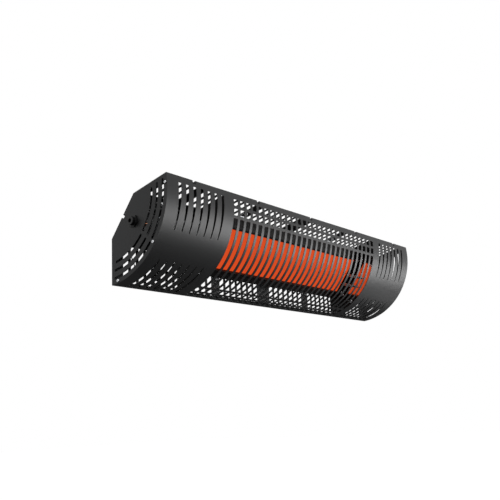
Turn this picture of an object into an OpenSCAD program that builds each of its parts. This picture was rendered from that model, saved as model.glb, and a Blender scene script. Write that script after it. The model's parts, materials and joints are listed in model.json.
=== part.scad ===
// Wall-hung radiant heater: a trapezoid housing, a slotted arc cover and a ceramic plaque burner.
// The sections are drawn as (depth, height): depth 0 is the plane where cover and housing meet,
// it grows to the rear, and height 0 is the middle. mounted() then leans the heater against its wall.

/* [Overall] */
// Length over the end plates
length = 1160; // [1140:5:1300]
// Height of the open front, fold to fold
chord = 300; // [280:2:330]
// Depth of the housing behind the folds
flat_depth = 70; // [68:1:90]
// Height of the flat at the back of the housing
rear_flat = 124; // [118:2:140]
// How far the arc cover bulges in front of the folds
bulge = 66; // [50:1:90]
// Rise of the rolled cover in the middle of its length
cover_crown = 0.5; // [0.4:0.1:1]
// Thickness of the painted sheet
sheet = 1.5; // [1.2:0.1:2]

/* [Slots] */
// Distance from one slot column to the next
slot_pitch = 25; // [24.5:0.1:26]
// Slot columns in each side zone of the cover
side_columns = 7; // [6:1:7]
// Slot columns in the middle zone of the cover
mid_columns = 28; // [28:1:28]
// Width of the middle slots and of the rear slots
slot_w = 16.5; // [12:0.5:18]
// Width of the side slots of the cover
side_slot_w = 9; // [6:0.5:14]
// Width of a side slot at its tip
side_tip_w = 2.2; // [1.5:0.1:6]
// Length over which a side slot narrows to its tip
side_taper = 78; // [40:1:80]
// Bare strip of the cover between a fold and its first slots
cover_margin = 16.4; // [14:0.2:20]
// Length round the arc of the two short rows next to each fold
short_slot = 17; // [12:0.5:19]
// Bare strip between the rows of slots
row_web = 7.4; // [5:0.2:10]
// Length round the arc of the slots of the side zones
side_slot = 113; // [80:1:130]
// Bare strip of the upper rear panel beside the fold
rear_margin = 16; // [14:1:24]
// Bare strip of the lower rear panel beside the fold
lower_margin = 7; // [6.5:0.5:20]
// Bare strip of a sloped rear panel beside the rear flat
rear_heel = 11; // [8:1:20]

/* [Folds] */
// Depth of the lips that meet at the folds
lip = 12; // [10:0.5:16]
// Distance from one hook notch to the next
notch_pitch = 244; // [200:2:260]
// Width of a hook notch
notch_w = 9; // [7:0.5:12]
// Height of a hook notch below the fold
notch_d = 6; // [5:0.25:7]

/* [End plates] */
// Inset of the first row of arc slots from the rim
end_row_first = 14; // [12:0.5:20]
// Distance from one row of arc slots to the next
end_row_pitch = 18.7; // [14:0.1:20]
// Width of an arc slot
end_slot_w = 6.5; // [4:0.25:9]
// Bare web between two arc slots of a row
end_slot_web = 8; // [5:0.5:12]
// Bare web in the middle of a row
end_mid_web = 13.6; // [8:0.2:20]
// Width of the notch at the rear of an end plate
rear_notch_w = 8; // [5:0.5:12]
// Depth of the notch at the rear of an end plate
rear_notch_d = 7; // [4:0.5:10]
// Length of the same notch in the back of the housing
rear_notch_l = 14; // [8:1:20]
// Depth of the plate's flanges
flange = 12; // [8:1:18]
// Inset of the cover screws from the rim
rim_screw_inset = 5.6; // [5:0.1:7]

/* [Wall fixing] */
// Diameter of the fixing holes
fixing_d = 9; // [7:0.5:11]
// Distance of the fixing holes from the lower fold
fixing_edge = 24; // [22:1:40]

/* [Burner] */
// Number of plaques
plaques = 7; // [7:1:7]
// Width of one plaque
plaque_w = 94; // [88:0.5:95]
// Height of one plaque
plaque_h = 132; // [126:0.5:134]
// Thickness of one plaque
plaque_t = 13; // [11:0.5:15]
// Fibre joint between two plaques
joint = 3; // [2:0.25:3.5]
// Glowing face behind the folds
burner_y = 8; // [6:0.5:10]
// Burner below the middle of the heater
burner_drop = 1; // [0:0.5:8]
// Thickness of the burner's sheet
tray_t = 1.5; // [1:0.1:2]
// Height of the burner's front frame
frame_h = 172; // [166:1:190]
// How far the frame covers the edge of the plaques
frame_lap = 6.5; // [4:0.25:8]
// How far the lips of the frame stand in front of the glowing face
frame_rise = 13; // [5:0.5:20]
// Distance from the glowing face to the back of the casing
casing_depth = 54; // [52:0.5:58]
// Thickness of the partitions
partition_t = 1.2; // [1:0.1:2]

/* [Gas train] */
// Gas inlet behind the folds
inlet_y = 28; // [24:0.5:32]
// Gas inlet above the middle
inlet_z = 8; // [0:0.5:12]
// Outer diameter of the inlet's pipe thread
inlet_d = 20.96; // [16.66:0.1:26.4]
// How far the inlet stands out of the end plate
inlet_out = 12; // [10:0.5:20]
// Outer diameter of the mixing tube
tube_d = 28; // [24:0.5:30]
// Length of the mixing tube
tube_l = 300; // [200:10:400]
// Length of the valve body
valve_l = 80; // [76:1:84]
// Lift of the valve plungers
plunger_lift = 2.5; // [1:0.25:3]
// Diameter of the valve plungers
plunger_d = 8; // [7:0.25:9]

/* [Fits] */
// Clearance between fixed pieces
gap = 0.3; // [0.2:0.05:0.4]
// Radial running clearance of the plungers
run_fit = 0.05; // [0.03:0.01:0.08]
// Clearance round a screw shank
hole_fit = 0.15; // [0.1:0.05:0.25]

/* [Hidden] */
$fn = 96;

// Section of the heater
tilt = atan(flat_depth / ((chord - rear_flat) / 2));
slope_l = norm([flat_depth, (chord - rear_flat) / 2]);
arc_r = (pow(bulge, 2) + pow(chord / 2, 2)) / (2 * bulge);
arc_y = arc_r - bulge;
half_angle = asin(chord / 2 / arc_r);
wall_y = sin(tilt) * chord / 2;
fixing_z = fixing_edge - cos(tilt) * chord / 2;
body_half = length / 2 - sheet;

// Slot columns: a blank one parts each side zone from the middle zone
columns = 2 * side_columns + mid_columns + 2;
rear_blank = [side_columns - 3, 13, columns / 2 - 1];
fixing_x = column_x(columns - side_columns + 2);
bracket_x = column_x(columns - 14);
partition_x = column_x(columns - 1 - side_columns);
bay_half = partition_x - partition_t / 2;

// Cover slots as angles up from straight ahead
row_1 = half_angle - arc_angle(cover_margin);
row_2 = row_1 - arc_angle(short_slot + row_web);
row_3 = row_2 - arc_angle(short_slot + row_web);
lip_top = chord / 2 - sheet;
lip_end = chord / 2 - lip;
side_bend = row_1 - arc_angle(side_slot - side_taper);
side_tip = row_1 - arc_angle(side_slot);
tongue_t = 1.5;
tongue_out = 4;

// End plates: half the reach of each row of arc slots, and the places of the rim screws
end_reach = [43.5, 42.4, 39.7];
end_round = end_slot_w / 2 + 0.05; // a hair over the slot's half width, so the sweep ends inside it
rim_angles = [-41, 0, 41];
rim_r = arc_r - rim_screw_inset;
lug_w = 14;
lug_h = 11;

// Burner, in the bay between the partitions
seat_fit = 3;
plaque_step = plaque_w + joint;
row_half = (plaques * plaque_step - joint) / 2;
seat_x = row_half + seat_fit;
seat_z = plaque_h / 2 + seat_fit;
ledge = 7;
plaque_back = burner_y + plaque_t;
casing_back = burner_y + casing_depth;
casing_bevel = 16;
frame_front = burner_y - tray_t;
frame_x = bay_half - 0.5;
open_x = row_half - frame_lap;
open_z = plaque_h / 2 - frame_lap;
skirt = 8;
tab_w = 14;
tab_over = 8;
tab_x = bay_half - tab_w / 2;
tab_z = 60;
groove_w = 1.6;
groove_d = 1;
grooves_x = 7;
grooves_z = 10;

// Partitions: a foot on the back of the housing, and a mirror-bright plate towards the burner
foot_half = 52;
foot_screw_z = 40;
reflector_t = 0.8;
reflector_y0 = -45;
reflector_y1 = frame_front - 1.5;
reflector_z = 72;
reflector_inset = 6;

// Brackets between casing and slopes
bracket_w = 30;
bracket_t = 1.5;
foot_rear = 44;
arm_foot = 12;
arm_front = plaque_back + 5;
arm_back = plaque_back + 21;

// Gas train
axis_y = 38;
tube_wall = 1.2;
tube_r = tube_d / 2;
throat_r = 8.5;
mouth_r = 16;
collar_t = 2;
collar_over = 6;
nozzle_gap = 2;
nozzle_l = 12;
nozzle_r = 5;
nozzle_tip = 4;
nozzle_tip_r = 3;
jet_r = 0.8;
inj_plate = 2;
inj_w = 20;
inj_leg = 24;
inj_foot = 14;
inj_foot_screw = 10;
inj_hex = 8;
inj_hex_af = 14;
pipe_r = 5;
pipe_bore = 3.5;
pipe_seat = 8;
pipe_nut_l = 10;
pipe_nut_af = 17;
mouth_out = 50;
valve_gap = 29;
tube_mouth = -bay_half - mouth_out;
inj_x = tube_mouth - nozzle_gap - nozzle_l;
valve_x1 = inj_x - valve_gap;
valve_x0 = valve_x1 - valve_l;
valve_y0 = 18;
valve_y1 = 50;
valve_z0 = -14;
valve_z1 = 34;
seat_y = 34;
op_inset = 20;
op_1 = valve_x0 + op_inset;
op_2 = valve_x1 - op_inset;
seat_floor = 18;
seat_top = 20;
seat_wall = 1.5;
chamber_r = 9;
port_r = 4;
bypass_r = 3;
bypass_up = 4;
disc_r = 6.5;
disc_t = 3;
plunger_r = plunger_d / 2;
plunger_top = 60;
tube_top = plunger_top + plunger_lift + 1;
can_r = plunger_r + 1.5;
can_flange = 3;
can_flange_over = 3;
can_cap = 2;
coil_h = 25;
coil_r = 15;
plug_w = 12;
plug_out = 5;
plug_up = 6;
coil_nut_h = 4;
coil_nut_over = 3;
hat_t = 2;
hat_h = 44;
hat_foot = 15;
hat_side = 10;
pad_inset = 12;
pad_up = 14;
rear_in = flat_depth - sheet;
inlet_r = inlet_d / 2;
inlet_bore = 5;
inlet_relief = 0.2;
inlet_hex_t = 6;
inlet_hex = inlet_d + 6;
nut_t = 4;
inlet_tail = 12;
inlet_tail_r = 9;
inlet_pipe_r = 6;
inlet_pipe_bore = 4.5;

// Electrodes and controls
electrode_y = -12;
spark_z = 9;
flame_z = -24;
insulator_r = 4;
insulator_in = 38;
insulator_out = 34;
insulator_collar = 2;
insulator_collar_l = 5;
rod_r = 1;
rod_out = 44;
spark_reach = 20;
spark_gap = 4;
flame_reach = 40;
plate_t = 2;
plate_w = 20;
plate_over = 20;
plate_screw = 14;
control_end = 70;
control_l = 110;
control_x = length / 2 - control_end - control_l;
control_y0 = 40;
control_y1 = 60;
control_z = 34;
control_screw = 8;
socket_x = 14;
socket_l = 34;
socket_h = 14;
socket_up = 6;
socket_out = 8;
button_x = 26;
button_z = 22;
button_r = 7;
button_out = 12;
spacer_r = 4.5;
terminal_x = body_half - 30;
terminal_w = 20;
terminal_h = 52;
terminal_d = 17;
terminal_pole = 17;
terminal_screw_r = 3;
terminal_screw_d = 8;
wire_r = 2.5;
wire_y = rear_in - 12;
gland_r = 10;
gland_bore = 4.2;
gland_tail = 9;
gland_af = 24;
gland_hex_t = 6;
gland_cap_r = 11;
gland_cap_l = 11;
gland_nut_af = 26;
gland_nut_t = 5;
screw_r = 2;
hole_l = 9;
deep_hole = 12;

function column_x(k) = (k - (columns - 1) / 2) * slot_pitch;
function arc_angle(l) = l / arc_r * 180 / PI;
function slope_z(y, inset) = chord / 2 - y * (chord - rear_flat) / 2 / flat_depth - inset / sin(tilt);
function section(y0, y1, inset) = [[y0, slope_z(y0, inset)], [y1, slope_z(y1, inset)],
    [y1, -slope_z(y1, inset)], [y0, -slope_z(y0, inset)]];
// Point of the upper slope, measured from the fold and inwards from the outer face
function slope_point(s, inset) = [s * sin(tilt) - inset * cos(tilt),
    chord / 2 - s * cos(tilt) - inset * sin(tilt)];
// Corner of a bent strip, moved sideways from its middle line by a mitre
function heading(p, i) = let (j = max(0, min(i, len(p) - 2))) (p[j + 1] - p[j]) / norm(p[j + 1] - p[j]);
function left_of(v) = [-v[1], v[0]];
function mirrored(p) = concat(p, [for (i = [len(p) - 1 : -1 : 0]) [-p[i][0], p[i][1]]]);
function mitre(p, i, off) = let (a = left_of(heading(p, i - 1)), b = left_of(heading(p, i)))
    p[i] + off * (a + b) / (1 + a * b);

// Leans the heater so that its lower slope lies on the wall, with the fixing holes at the origin
module mounted() {
    translate([0, -wall_y, -fixing_z]) rotate([tilt, 0, 0]) children();
}

// Runs a (depth, height) section along the length
module along(x0, x1) {
    translate([x0, 0, 0]) rotate([90, 0, 90]) linear_extrude(height = x1 - x0) children();
}

// Sweeps a (radius, length) profile round the axis of the arc, from one angle up to another
module round_arc(a0, a1) {
    translate([0, arc_y, 0]) rotate([90, 0, 90]) rotate([0, 0, 180 - a1])
        rotate_extrude(angle = a1 - a0) children();
}

// Puts a piece on the axis of the arc at a radius and an angle
module at_rim(r, a) {
    translate([0, arc_y - r * cos(a), r * sin(a)]) children();
}

// Places (length, distance from the fold, height off the face) on the upper or the lower slope
module on_slope(side) {
    rotate([0, side > 0 ? 0 : 180, 0]) translate([0, 0, chord / 2]) rotate([tilt - 90, 0, 0]) children();
}

module upside(side) {
    rotate([0, side > 0 ? 0 : 180, 0]) children();
}

module bent_strip(p, t) {
    polygon(concat([for (i = [0 : len(p) - 1]) mitre(p, i, t / 2)],
        [for (i = [len(p) - 1 : -1 : 0]) mitre(p, i, -t / 2)]));
}

// Full outline of the heater's end, moved in from the housing and from the cover
module outline(inset, arc_inset) {
    intersection() {
        translate([arc_y, 0]) circle(r = arc_r - arc_inset, $fn = 180);
        polygon(section(-bulge - 5, flat_depth - inset, inset));
    }
}

module rod(r, x0, x1, y, z) {
    translate([x0, y, z]) rotate([0, 90, 0]) cylinder(r = r, h = x1 - x0, $fn = 48);
}

module tube(r1, r2, x0, x1, y, z) {
    difference() {
        rod(r1, x0, x1, y, z);
        rod(r2, x0 - 1, x1 + 1, y, z);
    }
}

module hex(af, x0, x1, y, z) {
    translate([x0, y, z]) rotate([0, 90, 0]) cylinder(r = af / 2 / cos(30), h = x1 - x0, $fn = 6);
}

// Pan-head screw with its head above z = 0
module screw(l) {
    head_r = 1.85 * screw_r;
    head_h = 0.7 * screw_r;
    difference() {
        union() {
            cylinder(r = head_r, h = head_h, $fn = 32);
            translate([0, 0, head_h])
                cylinder(r1 = head_r, r2 = 0.7 * head_r, h = 0.5 * screw_r, $fn = 32);
            translate([0, 0, -l]) cylinder(r = screw_r, h = l + head_h / 2, $fn = 32);
        }
        translate([0, 0, 0.5 * screw_r]) cylinder(r = 0.75 * screw_r, h = screw_r, $fn = 6);
    }
}

module screw_hole(l = hole_l) {
    translate([0, 0, -l]) cylinder(r = screw_r + hole_fit, h = 2 * l, $fn = 32);
}

// Notches in the upper fold, where the cover hangs on the tongues of the housing
module notches() {
    for (i = [-2 : 2]) translate([i * notch_pitch - notch_w / 2, -lip, chord / 2 - notch_d])
        cube([notch_w, 2 * lip, notch_d + 2]);
}

module rear_housing() {
    color("#3a3b3d") mounted() {
        difference() {
            along(-body_half, body_half) difference() {
                polygon(section(0, flat_depth, 0));
                polygon(section(sheet, rear_in, sheet));
                translate([-1, -lip_end]) square([sheet + 2, 2 * lip_end]);
            }
            for (side = [-1, 1], k = [0 : columns - 1])
                if (len(search(min(k, columns - 1 - k), rear_blank)) == 0)
                    on_slope(side) rear_slot(k, side > 0 ? rear_margin : lower_margin);
            for (side = [-1, 1])
                on_slope(-1) translate([side * fixing_x, fixing_edge, -2 * sheet])
                    cylinder(d = fixing_d, h = 4 * sheet);
            for (end = [-1, 1])
                translate([end * body_half - rear_notch_l, flat_depth - rear_notch_d, -rear_notch_w / 2])
                    cube([2 * rear_notch_l, rear_notch_d + 1, rear_notch_w]);
            notches();
            bracket_feet() screw_hole();
            partition_feet() screw_hole();
            valve_feet() screw_hole();
            controller_feet() screw_hole();
            terminal_feet() screw_hole();
        }
        for (i = [-2 : 2])
            translate([i * notch_pitch + gap - notch_w / 2, 0, chord / 2 - notch_d]) {
                translate([0, 0, -1]) cube([notch_w - 2 * gap, sheet, 1 + gap + tongue_t]);
                translate([0, -tongue_out, gap]) cube([notch_w - 2 * gap, tongue_out + 1, tongue_t]);
            }
    }
}

module rear_slot(k, margin) {
    translate([column_x(k) - slot_w / 2, margin, -2 * sheet])
        cube([slot_w, slope_l - margin - rear_heel, 4 * sheet]);
}

module lug_band(a) {
    half = arc_angle(lug_w / 2);
    round_arc(a - half, a + half) translate([arc_r - sheet / 2 - lug_h, body_half - sheet])
        square([lug_h, sheet]);
}

module cover_row(a0, a1) {
    round_arc(a0, a1) for (k = [side_columns + 1 : columns - 2 - side_columns])
        translate([arc_r - 3 * sheet, column_x(k) - slot_w / 2]) square([5 * sheet, slot_w]);
}

// Side slots: full width beside the fold, narrowing to a tip towards the middle
module cover_side_row() {
    for (k = [0 : side_columns - 1], side = [-1, 1])
        translate([side * column_x(k), -2 * sheet, 0]) rotate([90, 0, 0])
            linear_extrude(height = bulge) polygon(mirrored([
                [side_slot_w / 2, arc_r * sin(row_1)],
                [side_slot_w / 2, arc_r * sin(side_bend)],
                [side_tip_w / 2, arc_r * sin(side_tip)]]));
}

module front_cover() {
    color("#3f4042") mounted() difference() {
        union() {
            intersection() {
                round_arc(-half_angle - 1, half_angle + 1) polygon([
                    [arc_r - sheet, -body_half], [arc_r, -body_half], [arc_r + cover_crown, 0],
                    [arc_r, body_half], [arc_r - sheet, body_half], [arc_r + cover_crown - sheet, 0]]);
                translate([-length / 2, -2 * bulge, -chord / 2]) cube([length, 2 * bulge, chord]);
            }
            along(-body_half, body_half) for (side = [-1, 1])
                translate([-sheet, side > 0 ? lip_end : -lip_top]) square([sheet, lip_top - lip_end]);
            for (end = [0, 1], a = rim_angles) mirror([end, 0, 0]) lug_band(a);
        }
        for (side = [-1, 1]) {
            upside(side) cover_row(row_1 - arc_angle(short_slot), row_1);
            upside(side) cover_row(row_2 - arc_angle(short_slot), row_2);
            upside(side) cover_side_row();
        }
        cover_row(-row_3, row_3);
        notches();
        rim_screws() screw_hole();
    }
}

// Heads of the cover screws, on the outer faces of the end plates
module rim_screws() {
    for (side = [-1, 1], a = rim_angles)
        at_rim(rim_r, a) translate([side * length / 2, 0, 0]) rotate([0, side * 90, 0]) children();
}

module end_row(row) {
    r = arc_r - end_row_first - row * end_row_pitch;
    start = end_mid_web / 2 / r * 180 / PI;
    web = end_slot_web / r * 180 / PI;
    part = (end_reach[row] - start - web) / 2;
    for (side = [-1, 1], i = [0, 1]) {
        a0 = start + i * (part + web);
        low = side > 0 ? a0 : -a0 - part;
        round_arc(low, low + part) translate([r - end_slot_w / 2, -10]) square([end_slot_w, 20]);
        for (a = [low, low + part])
            at_rim(r, a) rotate([0, 90, 0]) cylinder(r = end_round, h = 20, center = true, $fn = 48);
    }
}

// Plate drawn round x = 0, its outer face at x = 0 and its flanges towards +x
module end_plate() {
    difference() {
        union() {
            along(0, sheet) outline(0, 0);
            along(sheet - 0.01, sheet + flange) difference() {
                polygon(section(lip, rear_in, sheet));
                polygon(section(0, rear_in - sheet, 2 * sheet));
                for (side = [-1, 1])
                    translate([rear_in, side * slope_z(rear_in, sheet)]) circle(r = 5, $fn = 48);
            }
        }
        for (row = [0 : 2]) end_row(row);
        translate([-1, flat_depth - rear_notch_d, -rear_notch_w / 2])
            cube([2 * flange, rear_notch_d + 1, rear_notch_w]);
        for (a = rim_angles) at_rim(rim_r, a) rotate([0, 90, 0]) screw_hole();
        rod(inlet_r + gap, -1, hole_l, inlet_y, inlet_z);
    }
}

module left_end_plate() {
    color("#414244") mounted() translate([-length / 2, 0, 0]) end_plate();
}

module right_end_plate() {
    color("#414244") mounted() translate([length / 2, 0, 0]) mirror([1, 0, 0]) end_plate();
}

module end_plate_screws() {
    color("gainsboro") mounted() rim_screws() screw(8);
}

// Heads of the screws that hold the partitions, on the back of the housing
module partition_feet() {
    for (side = [-1, 1], z = [-foot_screw_z, foot_screw_z])
        translate([side * (partition_x + flange / 2), flat_depth, z]) rotate([-90, 0, 0]) children();
}

// Sheet that closes one end of the burner bay, drawn for the right end
module partition() {
    difference() {
        union() {
            along(bay_half, bay_half + partition_t) difference() {
                outline(sheet, sheet + gap);
                for (side = [-1, 1])
                    translate([-sheet - gap, side > 0 ? lip_end - gap : -chord / 2 - 1])
                        square([2 * (sheet + gap), lip + gap + 1]);
            }
            along(bay_half, partition_x + flange) translate([rear_in - partition_t, -foot_half])
                square([partition_t, 2 * foot_half]);
            translate([bay_half - tab_w, burner_y + tray_t, -burner_drop - tab_z - tab_over])
                cube([tab_w + partition_t / 2, partition_t, 2 * (tab_z + tab_over)]);
        }
        partition_feet() screw_hole();
        burner_corners() screw_hole(deep_hole);
        reflector_holes();
    }
}

module left_partition() {
    color("#333436") mounted() difference() {
        mirror([1, 0, 0]) partition();
        rod(tube_r + gap, -partition_x - hole_l, -partition_x + hole_l, axis_y, inlet_z);
        injector_feet() screw_hole();
    }
}

module right_partition() {
    color("#333436") mounted() difference() {
        partition();
        electrode_holes();
        electrode_feet() screw_hole();
    }
}

module electrode_holes() {
    for (z = [spark_z, flame_z])
        rod(insulator_r + gap, partition_x - hole_l, partition_x + hole_l, electrode_y, z);
}

module partition_screws() {
    color("silver") mounted() partition_feet() screw(6);
}

// Heads of the reflector screws, on the right reflector
module reflector_corners() {
    for (y = [reflector_y0 + reflector_inset, reflector_y1 - reflector_inset],
        z = [-reflector_z + reflector_inset, reflector_z - reflector_inset])
        translate([bay_half - reflector_t, y, z]) rotate([0, -90, 0]) children();
}

module reflector_holes() {
    reflector_corners() screw_hole();
}

// Polished plate on the burner's side of a partition, drawn for the right end
module reflector() {
    difference() {
        along(bay_half - reflector_t, bay_half) translate([reflector_y0, -reflector_z])
            square([reflector_y1 - reflector_y0, 2 * reflector_z]);
        reflector_holes();
    }
}

module left_reflector() {
    color("gainsboro") mounted() mirror([1, 0, 0]) reflector();
}

module right_reflector() {
    color("gainsboro") mounted() difference() {
        reflector();
        electrode_holes();
        electrode_feet() screw_hole();
    }
}

module reflector_screws() {
    color("silver") mounted() for (end = [0, 1]) mirror([end, 0, 0]) reflector_corners() screw(5);
}

// Heads of the screws at the corners of the burner frame
module burner_corners() {
    for (x = [-tab_x, tab_x], z = [-tab_z, tab_z])
        translate([x, frame_front, z - burner_drop]) rotate([90, 0, 0]) children();
}

module burner_section(y0, y1, h) {
    translate([y0, -burner_drop - h]) square([y1 - y0, 2 * h]);
}

// Gas box behind the plaques, bevelled to clear the slopes of the housing
module plenum_section(front, inset) {
    h = seat_z + tray_t - ledge - inset;
    back = casing_back - inset;
    bevel = casing_bevel - inset * (2 - sqrt(2));
    translate([0, -burner_drop])
        polygon([[front, h], [back - bevel, h], [back, h - bevel],
            [back, bevel - h], [back - bevel, -h], [front, -h]]);
}

module burner_casing() {
    half = seat_x + tray_t;
    color("#8c8f91") mounted() difference() {
        union() {
            along(-frame_x + gap, frame_x - gap)
                burner_section(burner_y, burner_y + tray_t, frame_h / 2 - tray_t - gap);
            along(-half, half) burner_section(burner_y, plaque_back + tray_t, seat_z + tray_t);
            along(ledge - half, half - ledge) plenum_section(plaque_back, 0);
        }
        along(-seat_x, seat_x) burner_section(burner_y - 1, plaque_back, seat_z);
        along(ledge - seat_x, seat_x - ledge) plenum_section(plaque_back - 1, tray_t);
        burner_corners() screw_hole(deep_hole);
        bracket_arms() screw_hole();
        rod(tube_r + hole_fit, -half, -half + deep_hole, axis_y, inlet_z);
    }
}

// Frame that holds the plaques: a skirt over the casing and lips round the window that stand forward
module burner_frame() {
    color("#333436") mounted() difference() {
        union() {
            along(-frame_x, frame_x) difference() {
                burner_section(frame_front, burner_y + skirt, frame_h / 2);
                burner_section(burner_y, burner_y + skirt + 1, frame_h / 2 - tray_t);
            }
            along(-open_x - tray_t, open_x + tray_t)
                burner_section(burner_y - frame_rise, burner_y, open_z + tray_t);
        }
        along(-open_x, open_x) burner_section(burner_y - frame_rise - 1, burner_y + 1, open_z);
        burner_corners() screw_hole(deep_hole);
    }
}

module burner_screws() {
    color("silver") mounted() burner_corners() screw(8);
}

module plaque_gasket() {
    color("#d9d4c6") mounted() difference() {
        along(gap - seat_x, seat_x - gap) burner_section(burner_y, plaque_back, seat_z - gap);
        for (i = [1 : plaques])
            along(plaque_left(i), plaque_left(i) + plaque_w)
                burner_section(burner_y - 1, plaque_back + 1, plaque_h / 2);
    }
}

function plaque_left(i) = (i - 1) * plaque_step - seat_x + seat_fit;

// Perforated ceramic plaque with its waffle of shallow grooves
module ceramic_plaque(i) {
    color("#e4561f") mounted() difference() {
        along(plaque_left(i), plaque_left(i) + plaque_w)
            burner_section(burner_y, plaque_back, plaque_h / 2);
        for (k = [1 : grooves_x - 1])
            translate([plaque_left(i) + k * plaque_w / grooves_x - groove_w / 2, burner_y - 1,
                -burner_drop - plaque_h / 2 - 1]) cube([groove_w, 1 + groove_d, plaque_h + 2]);
        for (k = [1 : grooves_z - 1])
            translate([plaque_left(i) - 1, burner_y - 1,
                -burner_drop - plaque_h / 2 + k * plaque_h / grooves_z - groove_w / 2])
                cube([plaque_w + 2, 1 + groove_d, groove_w]);
    }
}

module ceramic_plaque_1() { ceramic_plaque(1); }
module ceramic_plaque_2() { ceramic_plaque(2); }
module ceramic_plaque_3() { ceramic_plaque(3); }
module ceramic_plaque_4() { ceramic_plaque(4); }
module ceramic_plaque_5() { ceramic_plaque(5); }
module ceramic_plaque_6() { ceramic_plaque(6); }
module ceramic_plaque_7() { ceramic_plaque(7); }

// Screws of the bracket feet: their heads are inside, on the feet, and they end flush with the slope
module bracket_feet() {
    for (side = [-1, 1], x = [-bracket_x, bracket_x])
        on_slope(side) translate([x, slope_l - foot_rear, -sheet - bracket_t])
            rotate([180, 0, 0]) children();
}

// Screws of the bracket arms, on the top and the bottom of the casing
module bracket_arms() {
    for (side = [-1, 1], x = [-bracket_x, bracket_x])
        upside(side) translate([x, (arm_front + arm_back) / 2, arm_z(side) + bracket_t / 2]) children();
}

function arm_z(side) = seat_z + tray_t - ledge - side * burner_drop + bracket_t / 2;

module burner_brackets() {
    color("#8c8f91") mounted() difference() {
        for (side = [-1, 1], x = [-bracket_x, bracket_x])
            upside(side) translate([x, 0, 0]) along(-bracket_w / 2, bracket_w / 2) bent_strip([
                slope_point(slope_l - foot_rear - arm_foot, sheet + bracket_t / 2),
                slope_point(slope_l - foot_rear + arm_foot, sheet + bracket_t / 2),
                [arm_back, arm_z(side)],
                [arm_front, arm_z(side)]], bracket_t);
        bracket_feet() screw_hole();
        bracket_arms() screw_hole();
    }
}

module bracket_screws() {
    color("silver") mounted() {
        bracket_feet() screw(sheet + bracket_t - 0.1);
        bracket_arms() screw(6);
    }
}

// Venturi tube: bell mouth, throat, diffuser and a straight end inside the plenum
module mixing_tube() {
    stations = [[0, mouth_r], [8, mouth_r - 4], [22, throat_r], [32, throat_r],
        [66, tube_r - tube_wall], [tube_l, tube_r - tube_wall]];
    collar = -bay_half - partition_t - tube_mouth - collar_t;
    color("#9aa0a3") mounted() translate([tube_mouth, axis_y, inlet_z]) rotate([0, 90, 0]) {
        rotate_extrude() polygon(concat([for (s = stations) [s[1], s[0]]],
            [for (i = [len(stations) - 1 : -1 : 0]) [stations[i][1] + tube_wall, stations[i][0]]]));
        translate([0, 0, collar]) difference() {
            cylinder(r = mouth_r + collar_over, h = collar_t);
            translate([0, 0, -1])
                cylinder(r = lookup(collar + collar_t / 2, stations) + tube_wall / 2, h = collar_t + 2);
        }
    }
}

// Heads of the screws of the injector bracket, on its feet
module injector_feet() {
    for (side = [-1, 1])
        translate([-bay_half - partition_t - inj_plate, axis_y, inlet_z + side * (inj_leg + inj_foot_screw)])
            rotate([0, -90, 0]) children();
}

module injector_bracket() {
    foot = -bay_half - partition_t - inj_plate / 2;
    plate = inj_x - inj_plate / 2;
    leg = inj_leg + inj_plate / 2;
    color("#8c8f91") mounted() difference() {
        translate([0, axis_y + inj_w / 2, inlet_z]) rotate([90, 0, 0]) linear_extrude(height = inj_w)
            bent_strip([[foot, leg + inj_foot], [foot, leg], [plate, leg], [plate, -leg],
                [foot, -leg], [foot, -leg - inj_foot]], inj_plate);
        rod(nozzle_r + hole_fit, inj_x - hole_l, inj_x + hole_l, axis_y, inlet_z);
        injector_feet() screw_hole();
    }
}

module injector_screws() {
    color("silver") mounted() injector_feet() screw(5);
}

module gas_injector() {
    color("#b08d45") mounted() difference() {
        union() {
            hex(inj_hex_af, inj_x - inj_plate - inj_hex, inj_x - inj_plate, axis_y, inlet_z);
            rod(nozzle_r, inj_x - inj_plate - 1, inj_x + nozzle_l - nozzle_tip, axis_y, inlet_z);
            translate([inj_x + nozzle_l - nozzle_tip, axis_y, inlet_z]) rotate([0, 90, 0])
                cylinder(r1 = nozzle_r, r2 = nozzle_tip_r, h = nozzle_tip, $fn = 48);
        }
        rod(pipe_bore, inj_x - inj_plate - inj_hex - 1, inj_x + nozzle_l - nozzle_tip - 1, axis_y, inlet_z);
        rod(jet_r, inj_x, inj_x + nozzle_l + 1, axis_y, inlet_z);
    }
}

module outlet_pipe() {
    color("#b87a4a") mounted()
        tube(pipe_r, pipe_bore, valve_x1 - pipe_seat, inj_x - inj_plate - inj_hex, axis_y, inlet_z);
}

module outlet_pipe_nut() {
    color("#b08d45") mounted() difference() {
        hex(pipe_nut_af, valve_x1, valve_x1 + pipe_nut_l, axis_y, inlet_z);
        rod(pipe_r + hole_fit, valve_x1 - 1, valve_x1 + pipe_nut_l + 1, axis_y, inlet_z);
    }
}

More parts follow.
